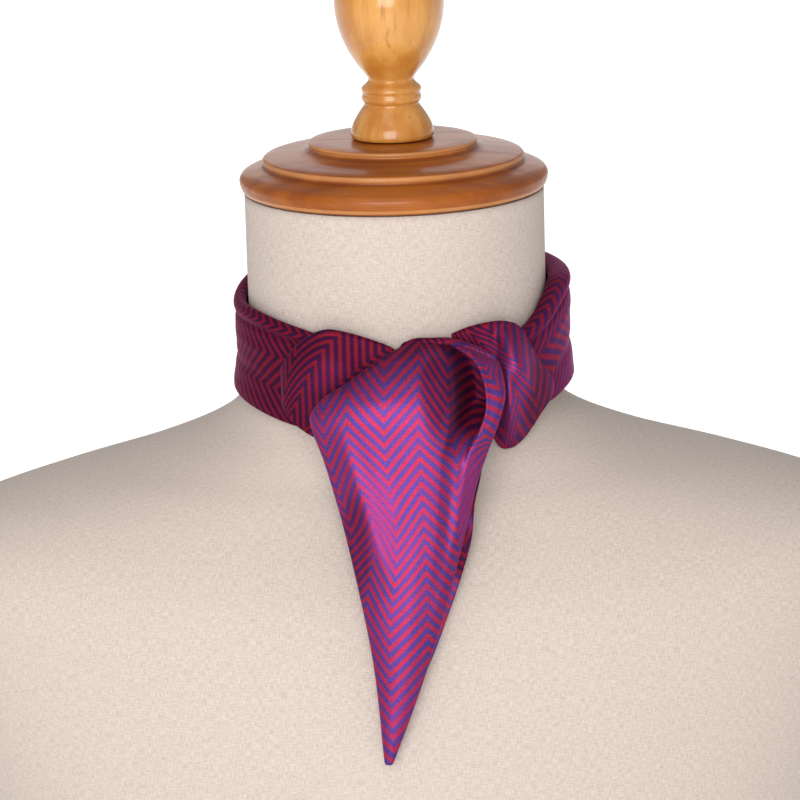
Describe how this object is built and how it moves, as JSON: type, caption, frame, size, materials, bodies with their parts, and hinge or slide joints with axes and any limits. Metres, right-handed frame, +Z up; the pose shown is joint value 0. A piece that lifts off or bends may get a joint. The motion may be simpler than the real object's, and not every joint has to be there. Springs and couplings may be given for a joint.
{
  "type": "silk cravat on dress form",
  "caption": "Herringbone silk cravat wound round the neck of a linen bust form, puffed and scooped at the throat, its point hanging in front, below a turned wooden neck cap and finial.",
  "frame": {"origin": "middle of the bounding box's bottom face, on the form's flat base", "axes": "+Z up along the neck and finial, -Y to the front where the cravat hangs, +X to the viewer's right"},
  "size_m": [0.422, 0.2291, 0.6136],
  "materials": {
    "silk": "satin",
    "linen": "matte",
    "cap_wood": "gloss",
    "finial_wood": "gloss"
  },
  "bodies": {
    "root": {"form_body": "linen", "neck_cap": "cap_wood", "finial": "finial_wood", "neck_band_left": "silk", "neck_band_right": "silk", "left_wrap": "silk", "right_fold": "silk", "front_blade": "silk", "under_blade": "silk"}
  },
  "joints": []
}
